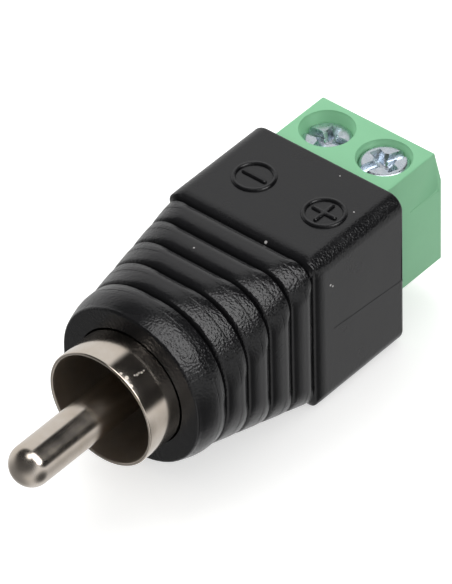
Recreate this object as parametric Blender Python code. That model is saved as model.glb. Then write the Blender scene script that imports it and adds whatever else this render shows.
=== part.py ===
# RCA plug with a two-pole screw terminal at its back, moulded into one ribbed grip.
# Plug lengths (Y) run from the barrel's rim back towards the terminal, and heights (Z) from the pin's axis.
# The empty "plug" then puts the middle of the part's underside at the origin.
import math

import bmesh
import bpy
from mathutils import Matrix, Vector

MM = 0.001

# Gaps
SEAT_GAP = 0.10 * MM          # between a piece and what holds it
THREAD_GAP = 0.06 * MM        # between a screw and its nut
SLIDE_GAP = 0.10 * MM         # between a cage and its chamber

# Centre pin
PIN_RADIUS = 1.575 * MM
PIN_REACH = 8.55 * MM         # from the barrel's rim to the pin's tip
PIN_NOSE_LENGTH = 1.45 * MM
SHANK_RADIUS = 1.1 * MM       # the thinner length inside the insulator
CUP_LENGTH = 2.8 * MM
CUP_BORE_RADIUS = 0.68 * MM
CUP_BORE_DEPTH = 2.3 * MM

# Barrel
BARREL_RADIUS = 4.5 * MM
BARREL_WALL = 0.24 * MM
BARREL_LENGTH = 8.4 * MM
BARREL_EXPOSED = 3.14 * MM    # in front of the grip
BASE_THICKNESS = 0.35 * MM
TAIL_WIDTH = 2.4 * MM
TAIL_THICKNESS = 0.35 * MM
TAIL_LENGTH = 5.0 * MM
TAIL_INSET = 1.25 * MM        # from the barrel's outside in to the tail's upper face

# Insulator
DISC_THICKNESS = 2.0 * MM
HUB_RADIUS = 2.4 * MM
HUB_LENGTH = 1.2 * MM

# Grip: a round nose, ribs that turn from round to square, and a square box
NOSE_RADIUS = 6.45 * MM
NOSE_TAPER = 0.37 * MM        # how much smaller the nose is at its face
NOSE_FLAT = 0.25 * MM         # half the width of its flats, so the nose is all but round
NOSE_LENGTH = 2.71 * MM
NOSE_EDGE = 0.2 * MM
RIB_COUNT = 4
RIB_PITCH = 2.25 * MM
GROOVE_DEPTH = 0.5 * MM       # on the flats; at the corners a groove is shallower
GROOVE_LEAD = 0.04            # how far a groove's floor is ahead of its ribs in turning square
RIB_FRONT_ROUNDING = 1.0 * MM
RIB_BACK_ROUNDING = 0.55 * MM
RIB_STEEPNESS = 0.8           # 0 is a straight slope out of the groove, 1 a full quarter round
SQUARING_LENGTH = 11.0 * MM   # over which ribs at this rate would turn from fully round to fully square
BOX_HALF_WIDTH = 6.65 * MM
BOX_TOP = 6.2 * MM
BOX_BOTTOM = 6.95 * MM
BOX_CORNER = 1.2 * MM
BOX_LENGTH = 9.6 * MM
BOX_BACK_EDGE = 0.25 * MM
CORNER_STEPS = 10
ROUNDING_STEPS = 5

# Terminal housing
POLE_PITCH = 5.08 * MM
TERMINAL_SIDE = 2.48 * MM     # from a pole's axis out to the terminal's side
TERMINAL_DEPTH = 8.0 * MM
TERMINAL_HEIGHT = 9.97 * MM
TERMINAL_TOP = 5.76 * MM      # above the pin's axis
TERMINAL_REACH = 6.2 * MM    # how far it stands out of the grip
SLOPE_DEPTH = 0.73 * MM
SLOPE_HEIGHT = 2.81 * MM
SCREW_SETBACK = 3.26 * MM     # from the wire face to the screws' axes
WELL_RADIUS = 1.9 * MM
WELL_DEPTH = 2.31 * MM
WELL_RIM_RADIUS = 2.0 * MM
WELL_RIM_DEPTH = 0.15 * MM
SHELF_THICKNESS = 0.55 * MM
ENTRY_WIDTH = 2.7 * MM
ENTRY_HEIGHT = 2.8 * MM
ENTRY_FLARE = 0.3 * MM
ENTRY_FLARE_DEPTH = 0.5 * MM

# Clamp screws
HEAD_RADIUS = 1.78 * MM
HEAD_HEIGHT = 1.4 * MM
HEAD_EDGE = 0.12 * MM
SCREW_RADIUS = 1.2 * MM
SCREW_LENGTH = 3.8 * MM       # under the head
SLOT_WIDTH = 0.62 * MM
SLOT_DEPTH = 0.7 * MM
CROSS_LENGTH = 2.3 * MM
CROSS_WIDTH = 0.66 * MM
MINUS_HEAD_SINK = 0.8 * MM    # from the terminal's top down to the head
PLUS_HEAD_SINK = 0.3 * MM
MINUS_SLOT_TURN = 8.0         # degrees from +X
PLUS_SLOT_TURN = 69.0

# Cages and contact bars
CAGE_WIDTH = 3.6 * MM
CAGE_LENGTH = 3.5 * MM
CAGE_SIDE = 0.5 * MM
CAGE_NUT = 1.1 * MM
CAGE_FLOOR = 0.55 * MM
CAGE_TRAVEL = 1.8 * MM
CAGE_SPARE = 0.25 * MM        # room left above the raised cage
BAR_WIDTH = 2.3 * MM
BAR_THICKNESS = 0.7 * MM
BAR_TAIL_WIDTH = 1.2 * MM
BAR_TAIL_LENGTH = 2.85 * MM   # in front of the terminal
BAR_SHOULDER = 1.65 * MM      # from the terminal's front to where the bar widens

# Leads
LEAD_RADIUS = 0.4 * MM
LEAD_SIDES = 4                # bevel resolution
LEAD_STEPS = 5
LEAD_LAP = 1.6 * MM           # length that lies on a tail or in the solder cup

# Facets round each kind of piece
BARREL_SIDES = 56
PIN_SIDES = 32
SCREW_SIDES = 32
WELL_SIDES = 40

# Places worked out from the sizes above
nose_face = BARREL_EXPOSED
first_groove = nose_face + NOSE_LENGTH
box_front = first_groove + RIB_COUNT * RIB_PITCH
box_back = box_front + BOX_LENGTH
wire_face = box_back + TERMINAL_REACH
terminal_front = wire_face - TERMINAL_DEPTH
terminal_bottom = TERMINAL_TOP - TERMINAL_HEIGHT
screw_y = wire_face - SCREW_SETBACK
pole_x = POLE_PITCH / 2
terminal_side = pole_x + TERMINAL_SIDE
nose_corner = NOSE_RADIUS - NOSE_FLAT
tail_top = TAIL_INSET - BARREL_RADIUS
shelf_top = TERMINAL_TOP - WELL_DEPTH
chamber_top = shelf_top - SHELF_THICKNESS
cage_window = CAGE_TRAVEL + BAR_THICKNESS + 1.5 * SEAT_GAP
cage_height = CAGE_FLOOR + cage_window + CAGE_NUT
cage_bottom = chamber_top - CAGE_SPARE - CAGE_TRAVEL - cage_height
chamber_bottom = cage_bottom - SEAT_GAP
bar_top = cage_bottom + CAGE_FLOOR + cage_window - SEAT_GAP
base_back = BARREL_LENGTH
disc_back = BARREL_LENGTH - BASE_THICKNESS - SEAT_GAP
disc_front = disc_back - DISC_THICKNESS
hub_back = base_back + HUB_LENGTH
cup_back = hub_back + CUP_LENGTH
tail_back = base_back + TAIL_LENGTH


def material(name, colour, roughness, metallic):
    made = bpy.data.materials.new(name)
    made.use_nodes = True
    shader = made.node_tree.nodes["Principled BSDF"]
    shader.inputs["Base Color"].default_value = (*colour, 1.0)
    shader.inputs["Roughness"].default_value = roughness
    shader.inputs["Metallic"].default_value = metallic
    return made


def add_object(name, mesh, look, frame):
    made = bpy.data.objects.new(name, mesh)
    bpy.context.scene.collection.objects.link(made)
    made.parent = frame
    if look is not None:
        mesh.materials.append(look)
    return made


def finish_mesh(name, bm, smooth_angle=None):
    """Turns the working mesh into mesh data with its faces pointing out."""
    bmesh.ops.remove_doubles(bm, verts=bm.verts, dist=1e-7)
    bmesh.ops.recalc_face_normals(bm, faces=bm.faces)
    mesh = bpy.data.meshes.new(name)
    bm.to_mesh(mesh)
    bm.free()
    if smooth_angle is not None:
        mesh.shade_smooth()
        mesh.set_sharp_from_angle(angle=math.radians(smooth_angle))
    return mesh


def loft(name, rows, smooth_angle=None):
    """Joins rows of equally many points into one closed body, capped at both ends."""
    bm = bmesh.new()
    made = [[bm.verts.new(point) for point in row] for row in rows]
    count = len(made[0])
    for near, far in zip(made, made[1:]):
        for i in range(count):
            j = (i + 1) % count
            bm.faces.new((near[i], near[j], far[j], far[i]))
    bm.faces.new(made[0])
    bm.faces.new(made[-1])
    return finish_mesh(name, bm, smooth_angle)


def turned(name, profile, sides, axis="Y", smooth_angle=35.0):
    """Turns a closed outline of (radius, distance) points about the Y or Z axis."""
    bm = bmesh.new()
    rings = []
    for radius, distance in profile:
        if radius == 0:
            spot = (0, distance, 0) if axis == "Y" else (0, 0, distance)
            rings.append([bm.verts.new(spot)])
            continue
        ring = []
        for i in range(sides):
            a = 2 * math.pi * i / sides
            u = radius * math.cos(a)
            v = radius * math.sin(a)
            ring.append(bm.verts.new((u, distance, v) if axis == "Y" else (u, v, distance)))
        rings.append(ring)
    for near, far in zip(rings, rings[1:] + rings[:1]):
        if len(near) == 1 and len(far) == 1:
            continue
        for i in range(sides):
            j = (i + 1) % sides
            corners = [near[i % len(near)], near[j % len(near)], far[j % len(far)], far[i % len(far)]]
            bm.faces.new(list(dict.fromkeys(corners)))
    return finish_mesh(name, bm, smooth_angle)


def block(name, low, high):
    bm = bmesh.new()
    size = Vector(high) - Vector(low)
    middle = (Vector(high) + Vector(low)) / 2
    bmesh.ops.create_cube(bm, size=1.0, matrix=Matrix.Translation(middle) @ Matrix.Diagonal((*size, 1)))
    return finish_mesh(name, bm)


def cutter(name, mesh, frame):
    made = add_object(name, mesh, None, frame)
    made.hide_render = True
    made.display_type = "WIRE"
    return made


def boolean(target, other, operation="DIFFERENCE"):
    modifier = target.modifiers.new(other.name, "BOOLEAN")
    modifier.operation = operation
    modifier.object = other
    modifier.solver = "EXACT"


def smooth_route(points, steps):
    """Points on a smooth curve through the given ones."""
    ends = [2 * points[0] - points[1]] + points + [2 * points[-1] - points[-2]]
    route = []
    for a, b, c, d in zip(ends, ends[1:], ends[2:], ends[3:]):
        for i in range(steps):
            t = i / steps
            route.append(0.5 * (2 * b + (c - a) * t + (2 * a - 5 * b + 4 * c - d) * t * t
                                + (3 * b - a - 3 * c + d) * t ** 3))
    return route + [points[-1]]


def tube(name, route, radius):
    curve = bpy.data.curves.new(name, "CURVE")
    curve.dimensions = "3D"
    curve.bevel_depth = radius
    curve.bevel_resolution = LEAD_SIDES
    curve.use_fill_caps = True
    spline = curve.splines.new("POLY")
    spline.points.add(len(route) - 1)
    for spot, point in zip(spline.points, route):
        spot.co = (*point, 1.0)
    holder = bpy.data.objects.new(name, curve)
    swept = bpy.data.meshes.new_from_object(holder)
    bpy.data.objects.remove(holder)
    bm = bmesh.new()
    bm.from_mesh(swept)
    bpy.data.meshes.remove(swept)
    return finish_mesh(name, bm, 50.0)


def rounded_section(half_width, top, bottom, corner, y):
    """A rounded rectangle across the plug, from the right side over the top and round."""
    points = []
    centres = ((half_width - corner, top - corner), (corner - half_width, top - corner),
               (corner - half_width, corner - bottom), (half_width - corner, corner - bottom))
    for quarter, (x, z) in enumerate(centres):
        for step in range(CORNER_STEPS + 1):
            a = math.pi / 2 * (quarter + step / CORNER_STEPS)
            points.append((x + corner * math.cos(a), y, z + corner * math.sin(a)))
    return points


def grip_section(square, inset, y):
    """The grip's section, where square runs from 0 at the nose to 1 at the box."""
    def between(at_nose, at_box):
        return at_nose + (at_box - at_nose) * square - inset
    return rounded_section(between(NOSE_RADIUS, BOX_HALF_WIDTH), between(NOSE_RADIUS, BOX_TOP),
                           between(NOSE_RADIUS, BOX_BOTTOM),
                           max(between(nose_corner, BOX_CORNER), BOX_CORNER / 3), y)


def squareness(y):
    """0 on the round nose, 1 on the square box, and even growth over the ribs between them."""
    ribs = 0.5 + (y - (first_groove + box_front) / 2) / SQUARING_LENGTH
    if abs(y - first_groove) < SEAT_GAP:
        return ribs / 2
    if abs(y - box_front) < SEAT_GAP:
        return (1 + ribs) / 2
    return 0 if y < first_groove else 1 if y > box_front else ribs


def rib_row(y, along):
    """The skin at y, where along runs from 0 on a groove's floor to 1 on the rib beside it."""
    land = grip_section(squareness(y), 0, y)
    floor = grip_section(min(squareness(y) + GROOVE_LEAD, 1), GROOVE_DEPTH, y)
    start = math.sqrt(1 - RIB_STEEPNESS ** 2)
    rise = (math.sqrt(1 - (RIB_STEEPNESS * (1 - along)) ** 2) - start) / (1 - start)
    return [Vector(low).lerp(Vector(high), rise) for low, high in zip(floor, land)]


def grip_rows():
    """Rows of the grip's skin from the nose's face to the box's back."""
    shares = [step / ROUNDING_STEPS for step in range(1, ROUNDING_STEPS + 1)]
    rows = [grip_section(0, NOSE_TAPER + NOSE_EDGE, nose_face),
            grip_section(0, NOSE_TAPER, nose_face + NOSE_EDGE),
            grip_section(0, NOSE_TAPER * 0.25, nose_face + NOSE_LENGTH * 0.55)]
    for groove in range(RIB_COUNT + 1):
        y = first_groove + groove * RIB_PITCH
        rows += [rib_row(y - share * RIB_BACK_ROUNDING, share) for share in reversed(shares)]
        rows.append(rib_row(y, 0))
        rows += [rib_row(y + share * RIB_FRONT_ROUNDING, share) for share in shares]
    rows += [grip_section(1, 0, box_back - BOX_BACK_EDGE),
             grip_section(1, BOX_BACK_EDGE * 0.3, box_back - BOX_BACK_EDGE * 0.3),
             grip_section(1, BOX_BACK_EDGE, box_back)]
    return rows


def lead_route(side, end, end_height):
    """From under a contact's tail forward to a tail or cup on the plug's axis."""
    under_bar = bar_top - BAR_THICKNESS - SEAT_GAP - LEAD_RADIUS
    start = terminal_front - BAR_TAIL_LENGTH + LEAD_LAP
    bend = start - LEAD_LAP
    reach = bend - (end + LEAD_LAP)
    x = side * pole_x
    return smooth_route([Vector((x, start, under_bar)), Vector((x, bend, under_bar)),
                         Vector((0.78 * x, bend - 0.3 * reach, under_bar + 0.25 * (end_height - under_bar))),
                         Vector((0.26 * x, bend - 0.72 * reach, under_bar + 0.8 * (end_height - under_bar))),
                         Vector((0, end + LEAD_LAP, end_height)), Vector((0, end, end_height))], LEAD_STEPS)


def make_grip(frame, looks, routes):
    grip = add_object("grip_moulding", loft("grip_moulding", grip_rows(), 30.0), looks["pvc"], frame)
    gap = SEAT_GAP
    core = [(0, nose_face - 1 * MM), (BARREL_RADIUS + gap, nose_face - 1 * MM),
            (BARREL_RADIUS + gap, base_back + gap), (HUB_RADIUS + gap, base_back + gap),
            (HUB_RADIUS + gap, hub_back + gap), (SHANK_RADIUS + gap, hub_back + gap),
            (SHANK_RADIUS + gap, cup_back + gap), (0, cup_back + gap)]
    boolean(grip, cutter("cut_plug_end", turned("cut_plug_end", core, BARREL_SIDES), frame))
    boolean(grip, cutter("cut_tail", block(
        "cut_tail", (-TAIL_WIDTH / 2 - gap, base_back - gap, tail_top - TAIL_THICKNESS - gap),
        (TAIL_WIDTH / 2 + gap, tail_back + gap, tail_top + gap)), frame))
    boolean(grip, cutter("cut_terminal", block(
        "cut_terminal", (-terminal_side - gap, terminal_front - gap, terminal_bottom - gap),
        (terminal_side + gap, box_back + 1 * MM, TERMINAL_TOP + gap)), frame))
    for pole, side in (("minus", -1), ("plus", 1)):
        x = side * pole_x
        half = BAR_TAIL_WIDTH / 2 + gap
        front = terminal_front - BAR_TAIL_LENGTH - gap
        boolean(grip, cutter("cut_bar_" + pole, block(
            "cut_bar_" + pole, (x - half, front, bar_top - BAR_THICKNESS - gap),
            (x + half, terminal_front, bar_top + gap)), frame))
        route = routes[pole]
        before = route[0] + (route[0] - route[1]).normalized() * gap
        after = route[-1] + (route[-1] - route[-2]).normalized() * gap
        boolean(grip, cutter("cut_lead_" + pole, tube(
            "cut_lead_" + pole, [before] + route + [after], LEAD_RADIUS + gap), frame))
    return grip


def make_barrel(frame, looks):
    inner = BARREL_RADIUS - BARREL_WALL
    hole = HUB_RADIUS + SEAT_GAP
    base_front = base_back - BASE_THICKNESS
    outline = [(BARREL_RADIUS, 0), (BARREL_RADIUS, base_back), (hole, base_back), (hole, base_front),
               (inner, base_front), (inner, 0)]
    cup = turned("ground_barrel", outline, BARREL_SIDES)
    barrel = add_object("ground_barrel", cup, looks["nickel"], frame)
    tail = block("ground_tail", (-TAIL_WIDTH / 2, base_back - BASE_THICKNESS / 2, tail_top - TAIL_THICKNESS),
                 (TAIL_WIDTH / 2, tail_back, tail_top))
    boolean(barrel, cutter("join_tail", tail, frame), "UNION")
    return barrel


def make_pin(frame, looks):
    tip = -PIN_REACH
    shoulder = disc_front - SEAT_GAP
    nose = [(0, tip)]
    for step in range(1, 7):
        a = math.pi / 2 * step / 6
        nose.append((PIN_RADIUS * math.sin(a), tip + PIN_NOSE_LENGTH * (1 - math.cos(a))))
    bore_end = cup_back - CUP_BORE_DEPTH
    outline = nose + [(PIN_RADIUS, shoulder), (SHANK_RADIUS, shoulder), (SHANK_RADIUS, cup_back),
                      (CUP_BORE_RADIUS, cup_back), (CUP_BORE_RADIUS, bore_end), (0, bore_end)]
    return add_object("centre_pin", turned("centre_pin", outline, PIN_SIDES), looks["nickel_pin"], frame)


def make_insulator(frame, looks):
    disc = BARREL_RADIUS - BARREL_WALL - SEAT_GAP
    bore = SHANK_RADIUS + SEAT_GAP
    outline = [(disc, disc_front), (disc, disc_back), (HUB_RADIUS, disc_back), (HUB_RADIUS, hub_back),
               (bore, hub_back), (bore, disc_front)]
    mesh = turned("pin_insulator", outline, BARREL_SIDES)
    return add_object("pin_insulator", mesh, looks["insulator"], frame)


def entry_cutter(name, x):
    """A wire entry with flared sides, from outside the wire face into the chamber."""
    low = chamber_bottom + (cage_window - ENTRY_HEIGHT) / 2 + CAGE_FLOOR
    rows = []
    for y, flare in ((wire_face + 1 * MM, ENTRY_FLARE), (wire_face, ENTRY_FLARE),
                     (wire_face - ENTRY_FLARE_DEPTH, 0), (screw_y, 0)):
        half = ENTRY_WIDTH / 2 + flare
        rows.append([(x - half, y, low - flare), (x + half, y, low - flare),
                     (x + half, y, low + ENTRY_HEIGHT + flare), (x - half, y, low + ENTRY_HEIGHT + flare)])
    return loft(name, rows)


def make_terminal(frame, looks):
    outline = [(terminal_front, terminal_bottom), (wire_face, terminal_bottom),
               (wire_face, TERMINAL_TOP - SLOPE_HEIGHT), (wire_face - SLOPE_DEPTH, TERMINAL_TOP),
               (terminal_front, TERMINAL_TOP)]
    sides = (-terminal_side, terminal_side)
    shell = loft("terminal_housing", [[(x, y, z) for y, z in outline] for x in sides])
    housing = add_object("terminal_housing", shell, looks["green"], frame)
    rim = TERMINAL_TOP - WELL_RIM_DEPTH
    hole = SCREW_RADIUS + 2 * SEAT_GAP
    well = [(0, TERMINAL_TOP + 1 * MM), (WELL_RIM_RADIUS, TERMINAL_TOP + 1 * MM), (WELL_RIM_RADIUS, rim),
            (WELL_RADIUS, rim), (WELL_RADIUS, shelf_top), (hole, shelf_top),
            (hole, chamber_top - 0.5 * MM), (0, chamber_top - 0.5 * MM)]
    for pole, side in (("minus", -1), ("plus", 1)):
        x = side * pole_x
        cut = cutter("cut_well_" + pole, turned("cut_well_" + pole, well, WELL_SIDES, "Z"), frame)
        cut.location = (x, screw_y, 0)
        boolean(housing, cut)
        wide = CAGE_WIDTH / 2 + SLIDE_GAP
        long = CAGE_LENGTH / 2 + SLIDE_GAP
        boolean(housing, cutter("cut_chamber_" + pole, block(
            "cut_chamber_" + pole, (x - wide, screw_y - long, chamber_bottom),
            (x + wide, screw_y + long, chamber_top)), frame))
        boolean(housing, cutter("cut_entry_" + pole, entry_cutter("cut_entry_" + pole, x), frame))
        low = bar_top - BAR_THICKNESS - SEAT_GAP
        high = bar_top + SEAT_GAP
        shoulder = terminal_front + BAR_SHOULDER - SEAT_GAP
        wide = BAR_WIDTH / 2 + SEAT_GAP
        narrow = BAR_TAIL_WIDTH / 2 + SEAT_GAP
        boolean(housing, cutter("cut_bar_seat_" + pole, block(
            "cut_bar_seat_" + pole, (x - wide, shoulder, low), (x + wide, screw_y, high)), frame))
        boolean(housing, cutter("cut_bar_slot_" + pole, block(
            "cut_bar_slot_" + pole, (x - narrow, terminal_front - 1 * MM, low),
            (x + narrow, screw_y, high)), frame))
    return housing


def make_screw(pole, side, sink, slot_turn, frame, looks):
    """One clamp screw, with its origin on its axis at the underside of its head."""
    bevel = HEAD_EDGE * 0.3
    outline = [(0, HEAD_HEIGHT), (HEAD_RADIUS - HEAD_EDGE, HEAD_HEIGHT),
               (HEAD_RADIUS - bevel, HEAD_HEIGHT - bevel),
               (HEAD_RADIUS, HEAD_HEIGHT - HEAD_EDGE), (HEAD_RADIUS, 0), (SCREW_RADIUS, 0),
               (SCREW_RADIUS, HEAD_EDGE - SCREW_LENGTH), (SCREW_RADIUS - HEAD_EDGE, -SCREW_LENGTH),
               (0, -SCREW_LENGTH)]
    name = "clamp_screw_" + pole
    screw = add_object(name, turned(name, outline, SCREW_SIDES, "Z"), looks["zinc"], frame)
    screw.location = (side * pole_x, screw_y, TERMINAL_TOP - sink - HEAD_HEIGHT)
    screw.rotation_euler = (0, 0, math.radians(slot_turn))
    top = HEAD_HEIGHT + 1 * MM
    floor = HEAD_HEIGHT - SLOT_DEPTH
    slot = block("cut_slot_" + pole, (-2 * HEAD_RADIUS, -SLOT_WIDTH / 2, floor),
                 (2 * HEAD_RADIUS, SLOT_WIDTH / 2, top))
    cross_floor = HEAD_HEIGHT - 1.25 * SLOT_DEPTH
    cross = block("cut_cross_" + pole, (-CROSS_WIDTH / 2, -CROSS_LENGTH / 2, cross_floor),
                  (CROSS_WIDTH / 2, CROSS_LENGTH / 2, top))
    boolean(screw, cutter("cut_slot_" + pole, slot, screw))
    boolean(screw, cutter("cut_cross_" + pole, cross, screw))
    return screw


def make_cage(pole, side, frame, looks):
    """A rising clamp: a frame with a window along Y for the bar and the wire, and a nut in its top wall."""
    name = "wire_cage_" + pole
    wide = CAGE_WIDTH / 2
    long = CAGE_LENGTH / 2
    cage = add_object(name, block(name, (-wide, -long, 0), (wide, long, cage_height)), looks["cage"], frame)
    cage.location = (side * pole_x, screw_y, cage_bottom)
    window = block("cut_window_" + pole, (CAGE_SIDE - wide, -2 * long, CAGE_FLOOR),
                   (wide - CAGE_SIDE, 2 * long, CAGE_FLOOR + cage_window))
    thread = SCREW_RADIUS + THREAD_GAP
    nut = turned("cut_nut_" + pole, [(0, cage_height + 1 * MM), (thread, cage_height + 1 * MM),
                                     (thread, cage_height - CAGE_NUT - 0.5 * MM),
                                     (0, cage_height - CAGE_NUT - 0.5 * MM)], SCREW_SIDES, "Z")
    boolean(cage, cutter("cut_window_" + pole, window, cage))
    boolean(cage, cutter("cut_nut_" + pole, nut, cage))
    return cage


def make_bar(pole, side, frame, looks):
    """A contact bar, wide under the screw and narrow where it leaves the terminal as a solder tail."""
    name = "contact_bar_" + pole
    front = terminal_front - BAR_TAIL_LENGTH
    shoulder = terminal_front + BAR_SHOULDER
    back = screw_y + CAGE_LENGTH / 2
    wide = BAR_WIDTH / 2
    narrow = BAR_TAIL_WIDTH / 2
    outline = [(-narrow, front), (narrow, front), (narrow, shoulder), (wide, shoulder), (wide, back),
               (-wide, back), (-wide, shoulder), (-narrow, shoulder)]
    rows = [[(x, y, z) for x, y in outline] for z in (bar_top - BAR_THICKNESS, bar_top)]
    bar = add_object(name, loft(name, rows), looks["brass"], frame)
    bar.location = (side * pole_x, 0, 0)
    return bar


def main():
    for old in list(bpy.data.objects):
        bpy.data.objects.remove(old)
    frame = bpy.data.objects.new("plug", None)
    bpy.context.scene.collection.objects.link(frame)
    frame.location = (0, (PIN_REACH - wire_face) / 2, BOX_BOTTOM)
    looks = {
        "pvc": material("black_pvc", (0.016, 0.016, 0.018), 0.42, 0.0),
        "nickel": material("nickel_plate", (0.62, 0.58, 0.53), 0.22, 1.0),
        "nickel_pin": material("satin_nickel_plate", (0.60, 0.56, 0.51), 0.3, 1.0),
        "insulator": material("black_insulator", (0.02, 0.018, 0.017), 0.5, 0.0),
        "green": material("green_polyamide", (0.25, 0.55, 0.33), 0.45, 0.0),
        "zinc": material("zinc_plate", (0.70, 0.74, 0.78), 0.25, 1.0),
        "cage": material("nickel_plated_cage", (0.63, 0.61, 0.57), 0.35, 1.0),
        "brass": material("tinned_brass", (0.72, 0.70, 0.66), 0.35, 1.0),
        "lead": material("tinned_copper", (0.75, 0.70, 0.65), 0.35, 1.0),
    }
    routes = {
        "minus": lead_route(-1, hub_back + 4 * SEAT_GAP, tail_top + SEAT_GAP + LEAD_RADIUS),
        "plus": lead_route(1, cup_back - CUP_BORE_DEPTH + 2 * SEAT_GAP, 0),
    }
    make_grip(frame, looks, routes)
    make_barrel(frame, looks)
    make_pin(frame, looks)
    make_insulator(frame, looks)
    make_terminal(frame, looks)
    make_screw("minus", -1, MINUS_HEAD_SINK, MINUS_SLOT_TURN, frame, looks)
    make_screw("plus", 1, PLUS_HEAD_SINK, PLUS_SLOT_TURN, frame, looks)
    for pole, side in (("minus", -1), ("plus", 1)):
        make_cage(pole, side, frame, looks)
        make_bar(pole, side, frame, looks)
    add_object("ground_lead", tube("ground_lead", routes["minus"], LEAD_RADIUS), looks["lead"], frame)
    add_object("signal_lead", tube("signal_lead", routes["plus"], LEAD_RADIUS), looks["lead"], frame)


main()
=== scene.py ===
# Looks of a phono plug whose ribbed grip holds a two-pole screw terminal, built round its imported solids.
# Lengths are in millimetres: along runs back from the barrel's rim, and up runs up from the pin's axis.
import math

import bmesh
import bpy
from mathutils import Matrix, Vector


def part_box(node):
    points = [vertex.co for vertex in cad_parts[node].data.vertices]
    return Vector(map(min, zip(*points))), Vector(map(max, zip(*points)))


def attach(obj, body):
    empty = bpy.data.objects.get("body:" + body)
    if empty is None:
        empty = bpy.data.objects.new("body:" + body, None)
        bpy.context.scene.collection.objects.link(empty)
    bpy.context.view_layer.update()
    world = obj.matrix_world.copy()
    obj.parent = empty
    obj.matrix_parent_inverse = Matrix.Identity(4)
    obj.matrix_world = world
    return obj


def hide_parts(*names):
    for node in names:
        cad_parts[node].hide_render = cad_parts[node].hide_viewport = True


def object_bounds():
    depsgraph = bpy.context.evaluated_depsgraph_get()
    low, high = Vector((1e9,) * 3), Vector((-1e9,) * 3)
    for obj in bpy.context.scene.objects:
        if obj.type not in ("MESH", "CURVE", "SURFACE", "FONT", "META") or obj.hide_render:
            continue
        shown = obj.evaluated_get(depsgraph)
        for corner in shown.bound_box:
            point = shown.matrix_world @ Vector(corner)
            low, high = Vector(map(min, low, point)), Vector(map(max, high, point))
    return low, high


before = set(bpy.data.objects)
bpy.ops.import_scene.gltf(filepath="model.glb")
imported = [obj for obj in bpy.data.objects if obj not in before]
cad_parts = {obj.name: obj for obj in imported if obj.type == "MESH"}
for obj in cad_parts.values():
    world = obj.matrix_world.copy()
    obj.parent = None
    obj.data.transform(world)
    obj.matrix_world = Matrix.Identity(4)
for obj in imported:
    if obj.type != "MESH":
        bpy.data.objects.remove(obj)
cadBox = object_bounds()
scene = bpy.context.scene
mm = 0.001
mergeDistance = 1e-7
sharpFrom = 32  # degrees between faces from which an edge is left sharp
seatGap = 0.1  # between pieces that sit in or on each other
past = 1  # how far a cutting shape stands past the face that it opens

# Places read from the solids
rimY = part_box("ground_barrel")[0].y
axisZ = (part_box("centre_pin")[0].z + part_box("centre_pin")[1].z) / 2
housingLow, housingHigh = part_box("terminal_housing")


def place(x, along, up):
    return Vector((x * mm, rimY + along * mm, axisZ + up * mm))


def alongOf(y):
    return (y - rimY) / mm


def upOf(z):
    return (z - axisZ) / mm


# Shape helpers

def meshFrom(name, bm):
    bmesh.ops.remove_doubles(bm, verts=bm.verts, dist=mergeDistance)
    bmesh.ops.recalc_face_normals(bm, faces=bm.faces)
    mesh = bpy.data.meshes.new(name)
    bm.to_mesh(mesh)
    bm.free()
    mesh.shade_smooth()
    mesh.set_sharp_from_angle(angle=math.radians(sharpFrom))
    return mesh


def addPiece(name, mesh):
    piece = bpy.data.objects.new(name, mesh)
    scene.collection.objects.link(piece)
    return piece


def closedSkin(name, bm, rows):
    # Rows of equally many bmesh points become one skin, capped at both ends
    count = len(rows[0])
    for near, far in zip(rows, rows[1:]):
        for i in range(count):
            j = (i + 1) % count
            bm.faces.new((near[i], near[j], far[j], far[i]))
    bm.faces.new(rows[0])
    bm.faces.new(rows[-1])
    return meshFrom(name, bm)


def skinRows(name, rows):
    bm = bmesh.new()
    return closedSkin(name, bm, [[bm.verts.new(point) for point in row] for row in rows])


def lathe(name, profile, centre=(0, 0, 0), sides=96, upright=False):
    # Turns a closed outline of (radius, distance) about the plug's axis, or about a screw's
    bm = bmesh.new()
    rings = []
    for radius, distance in profile:
        ring = []
        for i in range(sides if radius > 0 else 1):
            angle = 2 * math.pi * i / sides
            u = radius * math.cos(angle)
            v = radius * math.sin(angle)
            spot = (u, v, distance) if upright else (u, distance, v)
            ring.append(bm.verts.new(place(*(a + b for a, b in zip(centre, spot)))))
        rings.append(ring)
    for near, far in zip(rings, rings[1:] + rings[:1]):
        if len(near) == 1 and len(far) == 1:
            continue
        for i in range(sides):
            j = (i + 1) % sides
            corners = [near[i % len(near)], near[j % len(near)], far[j % len(far)], far[i % len(far)]]
            bm.faces.new(list(dict.fromkeys(corners)))
    return meshFrom(name, bm)


def arcPoints(centreU, centreV, size, startAngle, steps=6, turn=90):
    # Points along an arc, as for a rounded edge of an outline
    points = []
    for step in range(steps + 1):
        angle = math.radians(startAngle + turn * step / steps)
        points.append((centreU + size * math.cos(angle), centreV + size * math.sin(angle)))
    return points


def boxMesh(name, low, high):
    bm = bmesh.new()
    matrix = Matrix.Translation((low + high) / 2) @ Matrix.Diagonal((*(high - low), 1))
    bmesh.ops.create_cube(bm, size=1, matrix=matrix)
    return meshFrom(name, bm)


def swollenCopy(node, gap):
    # A closed copy of a solid, a little larger all round, to clear its place in a moulding
    bm = bmesh.new()
    bm.from_mesh(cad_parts[node].data)
    bmesh.ops.remove_doubles(bm, verts=bm.verts, dist=mergeDistance)
    bmesh.ops.recalc_face_normals(bm, faces=bm.faces)
    bm.normal_update()
    moves = [vertex.normal * gap * mm for vertex in bm.verts]
    for vertex, move in zip(bm.verts, moves):
        vertex.co += move
    return meshFrom("room_" + node, bm)


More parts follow.
